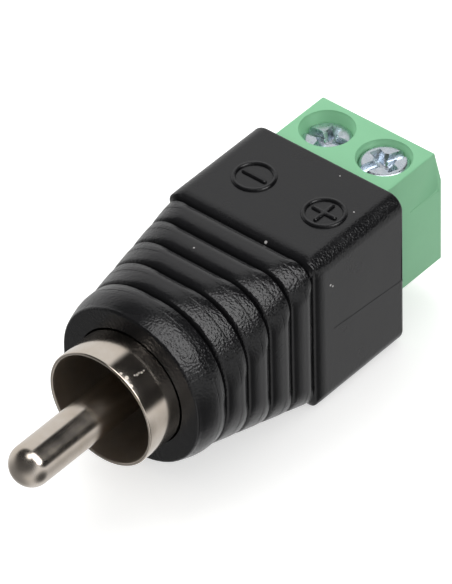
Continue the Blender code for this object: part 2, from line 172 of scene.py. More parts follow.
def fineRidges(ridges):
    # Fine straight ridges on faces towards +X, steep at their sides and sunk a little into the face
    outward = Vector((1, 0, 0))
    sink = 0.05
    lean = 0.2
    meshes = []
    for name, ridge in ridges.items():
        start = place(*ridge["start"])
        end = place(*ridge["end"])
        halfWidth = ridge["halfWidth"]
        run = (end - start).normalized()
        side = outward.cross(run)
        rows = []
        for height, inset in ((-sink, 0), (ridge["rise"], lean * halfWidth)):
            low = start + (run * inset + outward * height) * mm
            high = end + (outward * height - run * inset) * mm
            out = side * (halfWidth - inset) * mm
            rows.append([low - out, low + out, high + out, high - out])
        meshes.append(skinRows("ridge_" + name, rows))
    return meshes


def settle(piece, sharpAngle=sharpFrom):
    # Turns a piece's modifiers into plain mesh data
    graph = bpy.context.evaluated_depsgraph_get()
    graph.update()
    done = bpy.data.meshes.new_from_object(piece.evaluated_get(graph))
    piece.modifiers.clear()
    piece.data = done
    done.shade_smooth()
    done.set_sharp_from_angle(angle=math.radians(sharpAngle))


def combine(piece, meshes, operation="DIFFERENCE", sharpAngle=sharpFrom):
    helpers = []
    for mesh in meshes:
        helper = addPiece(mesh.name, mesh)
        helpers.append(helper)
        modifier = piece.modifiers.new(mesh.name, "BOOLEAN")
        modifier.operation = operation
        modifier.object = helper
        modifier.solver = "EXACT"
    settle(piece, sharpAngle)
    for helper in helpers:
        bpy.data.objects.remove(helper)


# Node helpers

def addNode(tree, kind, values=None, links=None, **settings):
    # Adds one node, sets its fields and sockets, and links the sockets that other nodes feed.
    # The two colours of a Mix node are its sockets 6 and 7.
    node = tree.nodes.new(kind)
    for name, value in settings.items():
        setattr(node, name, value)
    for socket, value in (values or {}).items():
        node.inputs[socket].default_value = value
    for socket, source in (links or {}).items():
        tree.links.new(source, node.inputs[socket])
    return node


def addMaths(tree, known, steps):
    # Each step is a result, its operation, and its operands: numbers, or names of what is known by then
    for name, operation, *operands in steps:
        values = {slot: operand for slot, operand in enumerate(operands) if not isinstance(operand, str)}
        links = {slot: known[operand] for slot, operand in enumerate(operands) if isinstance(operand, str)}
        known[name] = addNode(tree, "ShaderNodeMath", values, links, operation=operation).outputs[0]


def newNodeTree(name, inputs):
    tree = bpy.data.node_groups.new(name, "GeometryNodeTree")
    tree.interface.new_socket("Geometry", in_out="INPUT", socket_type="NodeSocketGeometry")
    for label, kind in inputs:
        tree.interface.new_socket(label, in_out="INPUT", socket_type=kind)
    tree.interface.new_socket("Geometry", in_out="OUTPUT", socket_type="NodeSocketGeometry")
    return tree


def endNodeTree(tree, geometry, material):
    whole = addNode(tree, "GeometryNodeRealizeInstances", links={"Geometry": geometry})
    coated = addNode(tree, "GeometryNodeSetMaterial",
                     links={"Geometry": whole.outputs[0], "Material": material})
    addNode(tree, "NodeGroupOutput", links={"Geometry": coated.outputs[0]})


def runNodes(piece, tree, values):
    modifier = piece.modifiers.new(tree.name, "NODES")
    modifier.node_group = tree
    for item in tree.interface.items_tree:
        if item.in_out == "INPUT" and item.name in values:
            modifier[item.identifier] = values[item.name]
    settle(piece)


def colour(hexValue):
    # An sRGB hex value as linear colour
    channels = []
    for start in (1, 3, 5):
        value = int(hexValue[start:start + 2], 16) / 255
        channels.append(value / 12.92 if value <= 0.04045 else ((value + 0.055) / 1.055) ** 2.4)
    return (*channels, 1)


def perSize(size):
    # Pattern scale that gives features of that many millimetres
    return 1 / (size * mm)


def newMaterial(name, values=None):
    material = bpy.data.materials.new(name)
    material.use_nodes = True
    tree = material.node_tree
    shader = tree.nodes["Principled BSDF"]
    for socket, value in (values or {}).items():
        shader.inputs[socket].default_value = value
    coords = addNode(tree, "ShaderNodeTexCoord").outputs["Object"]
    return material, tree, shader, coords


def feedShader(tree, shader, sources):
    for socket, source in sources.items():
        tree.links.new(source, shader.inputs[socket])


# Grip

grip = {
    "noseFace": 3.14, "noseFaceRadius": 6.08, "noseEdge": 0.2, "noseRadius": 6.45, "noseLength": 2.71,
    "noseSteps": 8, "noseBulge": 1.6, "ribPitch": 2.25, "ribCount": 4, "squaringLength": 11.0,
    "middleShare": 0.42, "noseCorner": 6.2, "leastCorner": 0.3, "boxHalfWidth": 6.65, "boxTop": 6.2,
    "boxBottom": 6.95, "boxCorner": 1.2, "boxLength": 9.6, "backEdge": 0.25, "cornerSteps": 18,
    "flatStart": 0.05,
    # Each groove is a deep line that runs all round, in a wider hollow that fades out at the corners.
    # A shape is a list of the distance behind the groove's middle and the share of the depth there.
    # The crease is a fine line in front of it, at the corners only.
    "lineDepth": 0.34, "hollowDepth": 0.24, "creaseDepth": 0.05, "cornerFade": 0.9,
    "lineShape": ((-0.16, 0.0), (-0.1, 0.2), (-0.05, 0.95), (0.0, 1.0), (0.06, 0.9), (0.16, 0.3), (0.3, 0.0)),
    "hollowShape": ((-0.56, 0.0), (-0.5, 0.12), (-0.12, 0.85), (0.0, 1.0), (0.16, 0.9), (0.4, 0.45),
                    (0.7, 0.14), (1.1, 0.0)),
    "creaseShape": ((-0.97, 0.0), (-0.94, 1.0), (-0.91, 1.0), (-0.88, 0.0)),
    # The skin's rows round each groove
    "groovePoints": (-1.0, -0.97, -0.94, -0.91, -0.88, -0.85, -0.56, -0.5, -0.4, -0.3, -0.2, -0.16, -0.13,
                     -0.1, -0.075, -0.05, -0.025, 0.0, 0.03, 0.06, 0.11, 0.16, 0.23, 0.3, 0.4, 0.5, 0.6,
                     0.7, 0.8, 0.95, 1.1, 1.15),
    # The polarity marks, raised on the top; an arm's shape is a list of heights and insets
    "markX": {"minus": -2.78, "plus": 3.45}, "markAlong": 19.75, "markRadius": 1.45, "markRidge": 0.18,
    "markRise": 0.17, "markSink": 0.1, "markArm": 1.1,
    "armShape": ((-0.1, 0.0), (0.08, 0.02), (0.13, 0.06), (0.17, 0.13)),
    # The mould's parting line, on the flank
    "ridges": {"parting": {"start": (6.65, 24.3, -1.12), "end": (6.65, 16.85, -0.52),
                           "halfWidth": 0.03, "rise": 0.02}},
    # Look of the skin: its grain is a mix of cells and pebbles, and has flatRelief of its depth on the flats.
    # The box's corners count as flat by leastFlat or more.
    "dark": "#131314", "light": "#18181a", "grain": 0.18, "pebble": 0.16, "cellShare": 0.6, "waves": 3.0,
    "relief": 0.036, "flatRelief": 0.25, "leastFlat": 0.25, "glossy": 0.2, "dull": 0.28, "shine": 0.45,
    # Specks of dust: x, along and up of each, with its radius
    "dustColour": "#c4c2c0",
    "dust": (((4.96, 21.13, 6.2), 0.07), ((2.14, 15.11, 5.96), 0.14), ((-1.05, 11.3, 6.25), 0.11),
             ((6.65, 16.51, 3.6), 0.11), ((6.65, 16.75, 3.35), 0.09), ((1.77, 23.52, 6.2), 0.06),
             ((6.5, 14.2, 1.6), 0.06)),
}
firstGroove = grip["noseFace"] + grip["noseLength"]
boxFront = firstGroove + grip["ribCount"] * grip["ribPitch"]
boxBack = boxFront + grip["boxLength"]


def makePvc():
    # Flexible PVC, over-moulded in a spark-eroded tool: near black, satin, with a fine leathery grain
    material, tree, shader, coords = newMaterial("mouldedPvc", {"Specular IOR Level": grip["shine"]})
    cells = addNode(tree, "ShaderNodeTexVoronoi", {"Scale": perSize(grip["grain"]), "Randomness": 1.0},
                    {"Vector": coords})
    pebble = addNode(tree, "ShaderNodeTexNoise", {"Scale": perSize(grip["pebble"]), "Detail": 1.0},
                     {"Vector": coords})
    waves = addNode(tree, "ShaderNodeTexNoise", {"Scale": perSize(grip["waves"]), "Detail": 2.0},
                    {"Vector": coords})
    grain = addNode(tree, "ShaderNodeMath", {1: grip["cellShare"]},
                    {0: cells.outputs["Distance"], 2: pebble.outputs["Fac"]}, operation="MULTIPLY_ADD")
    # The grain stands out most on the corners of the ribs
    flatShare = addNode(tree, "ShaderNodeAttribute", attribute_name="flatShare")
    depth = addNode(tree, "ShaderNodeMapRange", {"To Min": 1.0, "To Max": grip["flatRelief"]},
                    {"Value": flatShare.outputs["Fac"]})
    bump = addNode(tree, "ShaderNodeBump", {"Distance": grip["relief"] * mm},
                   {"Height": grain.outputs[0], "Strength": depth.outputs[0]})
    gloss = addNode(tree, "ShaderNodeMapRange",
                    {"From Min": 0.3, "From Max": 0.7, "To Min": grip["glossy"], "To Max": grip["dull"]},
                    {"Value": waves.outputs["Fac"]})
    shade = addNode(tree, "ShaderNodeMix", {6: colour(grip["dark"]), 7: colour(grip["light"])},
                    {0: pebble.outputs["Fac"]}, data_type="RGBA")
    surface = shade.outputs[2]
    for spot, size in grip["dust"]:
        away = addNode(tree, "ShaderNodeVectorMath", {1: place(*spot)}, {0: coords}, operation="DISTANCE")
        speck = addNode(tree, "ShaderNodeMapRange",
                        {"From Min": size * 0.6 * mm, "From Max": size * mm, "To Min": 1.0, "To Max": 0.0},
                        {"Value": away.outputs["Value"]})
        mix = addNode(tree, "ShaderNodeMix", {7: colour(grip["dustColour"])},
                      {0: speck.outputs[0], 6: surface}, data_type="RGBA")
        surface = mix.outputs[2]
    feedShader(tree, shader, {"Base Color": surface, "Roughness": gloss.outputs[0],
                              "Normal": bump.outputs["Normal"]})
    return material


def squareness(along):
    # 0 on the round nose, 1 on the square box, and nearly even growth over the ribs between them
    close = 1e-6
    if along < firstGroove - close:
        return 0
    if along > boxFront + close:
        return 1
    inRibs = max(grip["middleShare"] + (along - (firstGroove + boxFront) / 2) / grip["squaringLength"], 0)
    if abs(along - firstGroove) < close:
        return inRibs / 2
    if abs(along - boxFront) < close:
        return (1 + inRibs) / 2
    return inRibs


def cornerTurns():
    # For each point of a corner: its share of the quarter turn, and its way beyond the corner's ends.
    # The one point beyond each end keeps the shading of the flats flat.
    steps = grip["cornerSteps"]
    turns = []
    for step in range(-1, steps + 2):
        turn = min(max(step, 0), steps)
        turns.append((turn / steps, (step - turn) * grip["flatStart"]))
    return turns


def gripSection(along, share, inset):
    # Points round one section of the grip
    def between(atNose, atBox):
        return atNose + (atBox - atNose) * share - inset
    halfWidth = between(grip["noseRadius"], grip["boxHalfWidth"])
    top = between(grip["noseRadius"], grip["boxTop"])
    bottom = between(grip["noseRadius"], grip["boxBottom"])
    corner = max(between(grip["noseCorner"], grip["boxCorner"]), grip["leastCorner"])
    points = []
    centres = ((halfWidth - corner, top - corner), (corner - halfWidth, top - corner),
               (corner - halfWidth, corner - bottom), (halfWidth - corner, corner - bottom))
    for quarter, (x, up) in enumerate(centres):
        for turn, beyond in cornerTurns():
            angle = math.pi / 2 * (quarter + turn)
            points.append(place(x + corner * math.cos(angle) - beyond * math.sin(angle), along,
                                up + corner * math.sin(angle) + beyond * math.cos(angle)))
    return points


def flatShares():
    # For each point of a section: 1 on the flats, less towards the middle of a corner
    return [1 - grip["cornerFade"] * math.sin(math.pi * turn) for turn, beyond in cornerTurns()] * 4


def gripStations():
    # Lengths at which the skin has a row, closest together in the grooves, with the inset of each row
    face = grip["noseRadius"] - grip["noseFaceRadius"]
    edge = grip["noseEdge"]
    stations = arcPoints(grip["noseFace"] + edge, face + edge, edge, 180)
    noseRun = grip["noseLength"] - edge + grip["groovePoints"][0]
    for step in range(1, grip["noseSteps"]):
        share = step / grip["noseSteps"]
        stations.append((grip["noseFace"] + edge + share * noseRun, face * (1 - share) ** grip["noseBulge"]))
    for rib in range(grip["ribCount"] + 1):
        groove = firstGroove + rib * grip["ribPitch"]
        stations += [(groove + point, 0) for point in grip["groovePoints"]]
    edge = grip["backEdge"]
    stations.append((boxBack - edge - grip["flatStart"], 0))
    return stations + arcPoints(boxBack - edge, edge, edge, -90)


def ribTree():
    # Pushes the skin in at every groove, by the groove's three shapes and by where a point lies round it
    tree = newNodeTree("gripRibs", [
        ("First Groove", "NodeSocketFloat"), ("Pitch", "NodeSocketFloat"), ("Ribs", "NodeSocketFloat"),
        ("Line Depth", "NodeSocketFloat"), ("Hollow Depth", "NodeSocketFloat"),
        ("Crease Depth", "NodeSocketFloat"), ("Material", "NodeSocketMaterial")])
    given = addNode(tree, "NodeGroupInput").outputs
    position = addNode(tree, "GeometryNodeInputPosition")
    parts = addNode(tree, "ShaderNodeSeparateXYZ", links={0: position.outputs[0]})
    flatShare = addNode(tree, "GeometryNodeInputNamedAttribute", {"Name": "flatShare"}, data_type="FLOAT")
    wayDown = addNode(tree, "GeometryNodeInputNamedAttribute", {"Name": "wayDown"}, data_type="FLOAT_VECTOR")
    front = grip["groovePoints"][0] * mm
    shapes = {}
    for shape in ("lineShape", "hollowShape", "creaseShape"):
        # The curve spans one pitch, from the front of a groove's reach
        curve = addNode(tree, "ShaderNodeFloatCurve")
        points = curve.mapping.curves[0].points
        spots = [(0.0, 0.0)]
        spots += [((x * mm - front) / (grip["ribPitch"] * mm), share) for x, share in grip[shape]]
        spots.append((1.0, 0.0))
        while len(points) < len(spots):
            points.new(0.5, 0.5)
        for point, spot in zip(points, spots):
            point.location = spot
            point.handle_type = "AUTO_CLAMPED"
        curve.mapping.update()
        shapes[shape] = curve
    known = {"Along": parts.outputs["Y"], "Flat Share": flatShare.outputs[0],
             "Line": shapes["lineShape"].outputs[0], "Hollow": shapes["hollowShape"].outputs[0],
             "Crease": shapes["creaseShape"].outputs[0], **{socket.name: socket for socket in given}}
    addMaths(tree, known, (
        ("Way", "SUBTRACT", "Along", "First Groove"),
        ("Ahead", "SUBTRACT", "Way", front),
        ("Turns", "DIVIDE", "Ahead", "Pitch"),
        ("Phase", "FRACT", "Turns"),
        ("After First", "GREATER_THAN", "Turns", 0.0),
        ("Before Last", "LESS_THAN", "Turns", "Ribs"),
        ("Inside", "MULTIPLY", "After First", "Before Last"),
        ("Line Down", "MULTIPLY", "Line", "Line Depth"),
        ("Hollow Share", "MULTIPLY", "Hollow", "Flat Share"),
        ("Corner Share", "SUBTRACT", 1.0, "Flat Share"),
        ("Crease Share", "MULTIPLY", "Crease", "Corner Share"),
        ("Creased", "MULTIPLY_ADD", "Crease Share", "Crease Depth", "Line Down"),
        ("Whole", "MULTIPLY_ADD", "Hollow Share", "Hollow Depth", "Creased"),
        ("Depth", "MULTIPLY", "Whole", "Inside")))
    for curve in shapes.values():
        tree.links.new(known["Phase"], curve.inputs["Value"])
    move = addNode(tree, "ShaderNodeVectorMath", links={0: wayDown.outputs[0], "Scale": known["Depth"]},
                   operation="SCALE")
    pushed = addNode(tree, "GeometryNodeSetPosition", links={"Geometry": given["Geometry"],
                                                             "Offset": move.outputs[0]})
    endNodeTree(tree, pushed.outputs[0], given["Material"])
    return tree


def makeGripSkin():
    # Each point knows its way down into a groove, and how far it lies from the middle of a corner
    bm = bmesh.new()
    wayDown = bm.verts.layers.float_vector.new("wayDown")
    flatShare = bm.verts.layers.float.new("flatShare")
    rows = []
    for along, inset in gripStations():
        share = squareness(along)
        row = []
        for point, low, flat in zip(gripSection(along, share, inset), gripSection(along, share, inset + 1),
                                    flatShares()):
            vertex = bm.verts.new(point)
            vertex[wayDown] = (low - point) / mm
            vertex[flatShare] = flat
            row.append(vertex)
        rows.append(row)
    piece = addPiece("gripMoulding", closedSkin("gripMoulding", bm, rows))
    runNodes(piece, ribTree(), {
        "First Groove": rimY + firstGroove * mm, "Pitch": grip["ribPitch"] * mm,
        "Ribs": float(grip["ribCount"] + 1), "Line Depth": grip["lineDepth"] * mm,
        "Hollow Depth": grip["hollowDepth"] * mm, "Crease Depth": grip["creaseDepth"] * mm, "Material": pvc})
    return piece


def ringProfile():
    # A low half-round ridge, sunk a little into the face that it stands on
    radius = grip["markRadius"]
    half = grip["markRidge"]
    foot = half + 0.01
    steps = 8
    points = [(radius + foot, -grip["markSink"])]
    for step in range(steps):
        angle = math.pi * (step + 0.5) / steps
        points.append((radius + half * math.cos(angle), grip["markRise"] * math.sin(angle)))
    return points + [(radius - foot, -grip["markSink"])]


def armMesh(name, x, towards):
    # One arm of a mark: a low ridge with round ends
    half = grip["markRidge"]
    rows = []
    for height, inset in grip["armShape"]:
        row = []
        for end in (1, -1):
            for u, v in arcPoints(end * (grip["markArm"] - half), 0, end * (half - inset), -90, 8, 180):
                spot = (u, v) if towards == "x" else (-v, u)
                row.append(place(x + spot[0], grip["markAlong"] + spot[1], grip["boxTop"] + height))
        rows.append(row)
    return skinRows(name, rows)


def smoothFlats(piece):
    # The joined marks and cuts brought new points, which belong to the box's flats and not to its corners
    shares = piece.data.attributes["flatShare"].data
    pastGroove = 0.5
    slack = 0.01
    cornerSide = grip["boxHalfWidth"] - grip["boxCorner"] + slack
    cornerTop = grip["boxTop"] - grip["boxCorner"] + slack
    cornerBottom = grip["boxCorner"] - grip["boxBottom"] - slack
    for vertex in piece.data.vertices:
        if alongOf(vertex.co.y) > boxFront + pastGroove:
            share = shares[vertex.index]
            up = upOf(vertex.co.z)
            inCorner = abs(vertex.co.x) / mm > cornerSide and (up > cornerTop or up < cornerBottom)
            share.value = max(share.value, grip["leastFlat"]) if inCorner else 1


def makeGrip():
    piece = makeGripSkin()
    marks = fineRidges(grip["ridges"])
    for pole, x in grip["markX"].items():
        centre = (x, grip["markAlong"], grip["boxTop"])
        marks.append(lathe("ring_" + pole, ringProfile(), centre, sides=64, upright=True))
        marks.append(armMesh("arm_" + pole, x, "x"))
    marks.append(armMesh("arm_across", grip["markX"]["plus"], "y"))
    combine(piece, marks, "UNION")
    # Room for what the moulding holds: barrel, insulator, pin, tail, terminal, bars and leads
    gap = seatGap
    barrelEnd = barrel["length"] + gap
    hubEnd = insulator["hubBack"] + gap
    pinEnd = pin["back"] + gap
    bore = [(0, 0), (barrel["radius"] + gap, 0), (barrel["radius"] + gap, barrelEnd),
            (insulator["hubRadius"] + gap, barrelEnd), (insulator["hubRadius"] + gap, hubEnd),
            (pin["shank"] + gap, hubEnd), (pin["shank"] + gap, pinEnd), (0, pinEnd)]
    tailSide = barrel["tailWidth"] / 2 + gap
    tailLow = barrel["tailDrop"] + barrel["tailThickness"] + gap
    half = (housingHigh.x - housingLow.x) / mm / 2 + gap
    rooms = [lathe("room_bore", bore),
             boxMesh("room_tail", place(-tailSide, barrel["length"] - gap, -tailLow),
                     place(tailSide, barrel["tailBack"] + gap, gap - barrel["tailDrop"])),
             boxMesh("room_terminal", place(-half, terminalFront - gap, terminalBottom - gap),
                     place(half, boxBack + past, terminalTop + gap))]
    rooms += [swollenCopy(node, gap) for node in ("contact_bar_minus", "contact_bar_plus", "ground_lead",
                                                  "signal_lead")]
    combine(piece, rooms, sharpAngle=22)
    smoothFlats(piece)
    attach(piece, "plug")
    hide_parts("grip_moulding")


# Plug end

barrel = {
    "radius": 4.5, "wall": 0.24, "length": 8.4, "base": 0.35, "hole": 2.5, "rimRoll": 0.1, "rows": 12,
    "tailWidth": 2.4, "tailDrop": 3.25, "tailThickness": 0.35, "tailBack": 13.4,
    "dent": {"angle": 60, "half": 14, "length": 0.4, "depth": 0.025},
    # Look of the plate, and its scuffs: degrees round from +X, along, and radius
    "roughness": 0.13, "lines": 0.05, "innerRoughness": 0.42, "scuffed": 0.75,
    "scuffs": ((57.5, 0.95, 0.1), (56.4, 1.13, 0.13), (56.8, 1.33, 0.1), (55.6, 1.52, 0.13),
               (55.8, 1.75, 0.09), (60, 0.35, 0.2), (52, 0.2, 0.18), (66, 0.25, 0.15)),
}
pin = {
    "radius": 1.575, "reach": 8.55, "noseLength": 1.45, "noseSteps": 14, "shank": 1.1, "shoulder": 5.85,
    "back": 12.4, "edge": 0.1, "cupRadius": 0.68, "cupDepth": 2.3, "cupPoint": 0.3,
    "roughness": 0.18, "lines": 0.08, "tipRoughness": 0.36, "tipLength": 0.3,
}
insulator = {
    "front": 5.95, "discBack": 7.95, "hubRadius": 2.4, "hubBack": 9.6, "edge": 0.15,
    # The hollow in its front face, between a collar round the pin and a lip at the barrel
    "recess": 0.35, "collar": 0.4, "lip": 0.6, "draft": 0.1,
    "dark": "#2b2825", "light": "#39352f", "grit": 0.12, "relief": 0.01, "roughness": 0.5,
}
nickel = {"light": "#dfd8d1", "dark": "#c9bba9", "smudge": 2.2, "lineRelief": 0.003}


def makeNickel(name, look):
    # Nickel plate on drawn and turned brass: a warm grey mirror, blurred by fine lines and handling, dull
    # inside the barrel and worn at the pin's tip. The lines are drawn coarser than real ones, to show.
    material, tree, shader, coords = newMaterial(name, {"Metallic": 1.0})
    roughness = look["roughness"]
    innerRoughness = look.get("innerRoughness", 0.0)
    smudge = addNode(tree, "ShaderNodeTexNoise",
                     {"Scale": perSize(nickel["smudge"]), "Detail": 4.0, "Roughness": 0.6},
                     {"Vector": coords})
    stretch = addNode(tree, "ShaderNodeMapping", {"Scale": (0.06, 1.0, 0.06)}, {"Vector": coords})
    lines = addNode(tree, "ShaderNodeTexNoise", {"Scale": perSize(look["lines"]), "Detail": 2.0},
                    {"Vector": stretch.outputs[0]})
    gloss = addNode(tree, "ShaderNodeMapRange",
                    {"From Min": 0.3, "To Min": roughness * 0.75,
                     "From Max": 0.75, "To Max": roughness * 1.5}, {"Value": smudge.outputs["Fac"]})
    local = addNode(tree, "ShaderNodeVectorMath", {1: (0, 0, axisZ)}, {0: coords}, operation="SUBTRACT")
    across = addNode(tree, "ShaderNodeVectorMath", {1: (1, 0, 1)}, {0: local.outputs[0]},
                     operation="MULTIPLY")
    reach = addNode(tree, "ShaderNodeVectorMath", links={0: across.outputs[0]}, operation="LENGTH")
    inside = addNode(tree, "ShaderNodeMapRange",
                     {"From Min": (barrel["radius"] - 0.1) * mm, "From Max": (barrel["radius"] - 0.2) * mm,
                      "To Min": 0.0, "To Max": innerRoughness}, {"Value": reach.outputs["Value"]})
    parts = addNode(tree, "ShaderNodeSeparateXYZ", links={0: coords})
    tip = addNode(tree, "ShaderNodeMapRange",
                  {"From Min": place(0, pin["tipLength"] - pin["reach"], 0).y, "To Min": pin["tipRoughness"],
                   "From Max": place(0, pin["noseLength"] - pin["reach"], 0).y, "To Max": 0.0},
                  {"Value": parts.outputs["Y"]})
    dull = addNode(tree, "ShaderNodeMath", links={0: gloss.outputs[0], 1: inside.outputs[0]},
                   operation="MAXIMUM")
    worn = addNode(tree, "ShaderNodeMath", links={0: dull.outputs[0], 1: tip.outputs[0]},
                   operation="MAXIMUM")
    rough = worn.outputs[0]
    for angle, along, size in barrel["scuffs"]:
        # A scuff scatters the light
        spot = place(barrel["radius"] * math.cos(math.radians(angle)), along,
                     barrel["radius"] * math.sin(math.radians(angle)))
        away = addNode(tree, "ShaderNodeVectorMath", {1: spot}, {0: coords}, operation="DISTANCE")
        scuff = addNode(tree, "ShaderNodeMapRange",
                        {"From Min": 0.0, "From Max": size * mm, "To Min": barrel["scuffed"], "To Max": 0.0},
                        {"Value": away.outputs["Value"]})
        both = addNode(tree, "ShaderNodeMath", links={0: rough, 1: scuff.outputs[0]}, operation="MAXIMUM")
        rough = both.outputs[0]
    bump = addNode(tree, "ShaderNodeBump", {"Strength": 0.25, "Distance": nickel["lineRelief"] * mm},
                   {"Height": lines.outputs["Fac"]})
    shade = addNode(tree, "ShaderNodeMix", {6: colour(nickel["light"]), 7: colour(nickel["dark"])},
                    {0: smudge.outputs["Fac"]}, data_type="RGBA")
    feedShader(tree, shader, {"Base Color": shade.outputs[2], "Roughness": rough,
                              "Normal": bump.outputs["Normal"]})
    return material


def makeInsulatorPlastic():
    # Glass-filled nylon, moulded: dull brownish black with a fine grit
    material, tree, shader, coords = newMaterial("filledNylon", {"Roughness": insulator["roughness"]})
    grit = addNode(tree, "ShaderNodeTexNoise", {"Scale": perSize(insulator["grit"]), "Detail": 3.0},
                   {"Vector": coords})
    shade = addNode(tree, "ShaderNodeMix", {6: colour(insulator["dark"]), 7: colour(insulator["light"])},
                    {0: grit.outputs["Fac"]}, data_type="RGBA")
    bump = addNode(tree, "ShaderNodeBump", {"Strength": 0.4, "Distance": insulator["relief"] * mm},
                   {"Height": grit.outputs["Fac"]})
    feedShader(tree, shader, {"Base Color": shade.outputs[2], "Normal": bump.outputs["Normal"]})
    return material


def makeBarrel():
    radius = barrel["radius"]
    inner = radius - barrel["wall"]
    roll = barrel["rimRoll"]
    base = barrel["length"] - barrel["base"]
    outline = arcPoints(inner + roll, roll, roll, 180, 5) + arcPoints(radius - roll, roll, roll, 270, 5)
    for step in range(1, barrel["rows"]):
        outline.append((radius, roll + (barrel["length"] - roll) * step / barrel["rows"]))
    outline += [(radius, barrel["length"]), (barrel["hole"], barrel["length"]), (barrel["hole"], base),
                (inner, base)]
    mesh = lathe("groundBarrel", outline, sides=128)
    dent = barrel["dent"]
    for vertex in mesh.vertices:
        # The rim is pressed in a little on the side that faces up and to the right
        up = upOf(vertex.co.z)
        turn = math.degrees(math.atan2(up, vertex.co.x / mm)) - dent["angle"]
        share = max(0, 1 - alongOf(vertex.co.y) / dent["length"]) * max(0, 1 - (turn / dent["half"]) ** 2)
        vertex.co.x -= vertex.co.x * share * dent["depth"] / radius
        vertex.co.z -= up * mm * share * dent["depth"] / radius
    piece = addPiece("groundBarrel", mesh)
    piece.data.materials.append(nickelPlate)
    inBase = base + 0.1  # the tail starts inside the base, to become one with it
    low = -barrel["tailDrop"] - barrel["tailThickness"]
    tail = boxMesh("tail", place(-barrel["tailWidth"] / 2, inBase, low),
                   place(barrel["tailWidth"] / 2, barrel["tailBack"], -barrel["tailDrop"]))
    combine(piece, [tail], "UNION")
    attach(piece, "plug")
    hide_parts("ground_barrel")


def makePin():
    tip = -pin["reach"]
    outline = [(0, tip)]
    for step in range(1, pin["noseSteps"] + 1):
        angle = math.pi / 2 * step / pin["noseSteps"]
        outline.append((pin["radius"] * math.sin(angle), tip + pin["noseLength"] * (1 - math.cos(angle))))
    bore = pin["back"] - pin["cupDepth"]
    edge = pin["edge"]
    outline += [(pin["radius"], pin["shoulder"]), (pin["shank"], pin["shoulder"]),
                (pin["shank"], pin["back"] - edge), (pin["shank"] - edge, pin["back"]),
                (pin["cupRadius"] + edge, pin["back"]), (pin["cupRadius"], pin["back"] - edge),
                (pin["cupRadius"], bore), (0, bore + pin["cupPoint"])]
    piece = addPiece("centrePin", lathe("centrePin", outline))
    piece.data.materials.append(satinNickel)
    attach(piece, "plug")
    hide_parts("centre_pin")


def makeInsulator():
    disc = barrel["radius"] - barrel["wall"] - seatGap
    bore = pin["shank"] + seatGap
    hub = insulator["hubRadius"]
    front = insulator["front"]
    edge = insulator["edge"]
    floor = front + insulator["recess"]
    collar = pin["radius"] + insulator["collar"]
    lip = disc - insulator["lip"]
    draft = insulator["draft"]
    outline = [(disc - edge, front), (disc, front + edge), (disc, insulator["discBack"]),
               (hub, insulator["discBack"]), (hub, insulator["hubBack"] - edge),
               (hub - edge, insulator["hubBack"]), (bore, insulator["hubBack"]), (bore, front),
               (collar, front), (collar + draft, floor), (lip - draft, floor), (lip, front)]
    piece = addPiece("pinInsulator", lathe("pinInsulator", outline))
    piece.data.materials.append(filledNylon)
    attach(piece, "plug")
    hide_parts("pin_insulator")


# Terminal

terminal = {
    "pitch": 5.08, "slopeDepth": 0.73, "slopeHeight": 2.81, "screwSetback": 3.26, "edge": 0.1,
    "wellRadius": 1.9, "wellDepth": 2.31, "wellRimRadius": 2.0, "wellRimDepth": 0.15, "wellEdge": 0.04,
    "shelf": 0.55, "entryWidth": 2.7, "entryHeight": 2.8, "entryLift": 0.3, "entryFlare": 0.3,
    "entryFlareDepth": 0.5, "barRoom": 0.17,
    # A moulding line and a speck on the flank
    "ridges": {"seam": {"start": (5.02, 27.2, 2.22), "end": (5.02, 30.1, 2.32), "halfWidth": 0.04,
                        "rise": 0.02},
               "speck": {"start": (5.02, 30.22, 2.1), "end": (5.02, 30.4, 2.24), "halfWidth": 0.05,
                         "rise": 0.05}},
    "dark": "#86c498", "light": "#8ecda1", "clouds": 2.5, "grit": 0.09, "relief": 0.008, "glossy": 0.42,
    "dull": 0.52,
}
screw = {
    "headRadius": 1.78, "headHeight": 1.4, "headEdge": 0.3, "underEdge": 0.05, "radius": 1.2, "length": 3.8,
    "play": 0.02, "tipEdge": 0.2, "threadPitch": 0.45, "threadDepth": 0.2, "threadRows": 84,
    "threadStart": 0.3, "threadEnd": 0.2,
    # The worn recess: a slot right across the head, a cross and a pit in its middle
    "slotReach": 3, "slotWidth": 0.75, "slotDepth": 0.5, "slotDraft": 0.05, "crossReach": 1.3,
    "crossWidth": 0.85, "crossDraft": 0.3, "crossDepth": 0.75, "pitRadius": 0.8, "pitFoot": 0.45,
    "pitPoint": 0.1, "turns": {"minus": 8, "plus": 69},
}
plating = {
    "flecks": 0.22, "dents": 0.35, "relief": 0.02,
    # Light and dark tint of each metal, and its roughness
    "zincPlate": ("#e6e8ec", "#bccbd8", 0.26),  # on steel: bright and bluish
    "nickelPlatedSteel": ("#cfcbc4", "#b5b0a8", 0.3),  # warm grey
    "tinPlate": ("#dad8d3", "#bfbcb5", 0.34),  # on brass: pale, with a soft sheen
    "tinnedCopper": ("#d8cfc6", "#b9aca0", 0.34),  # pale and warm
}
wireFace = alongOf(housingHigh.y)
terminalFront = alongOf(housingLow.y)
terminalTop = upOf(housingHigh.z)
terminalBottom = upOf(housingLow.z)
screwAlong = wireFace - terminal["screwSetback"]
poles = {"minus": -terminal["pitch"] / 2, "plus": terminal["pitch"] / 2}


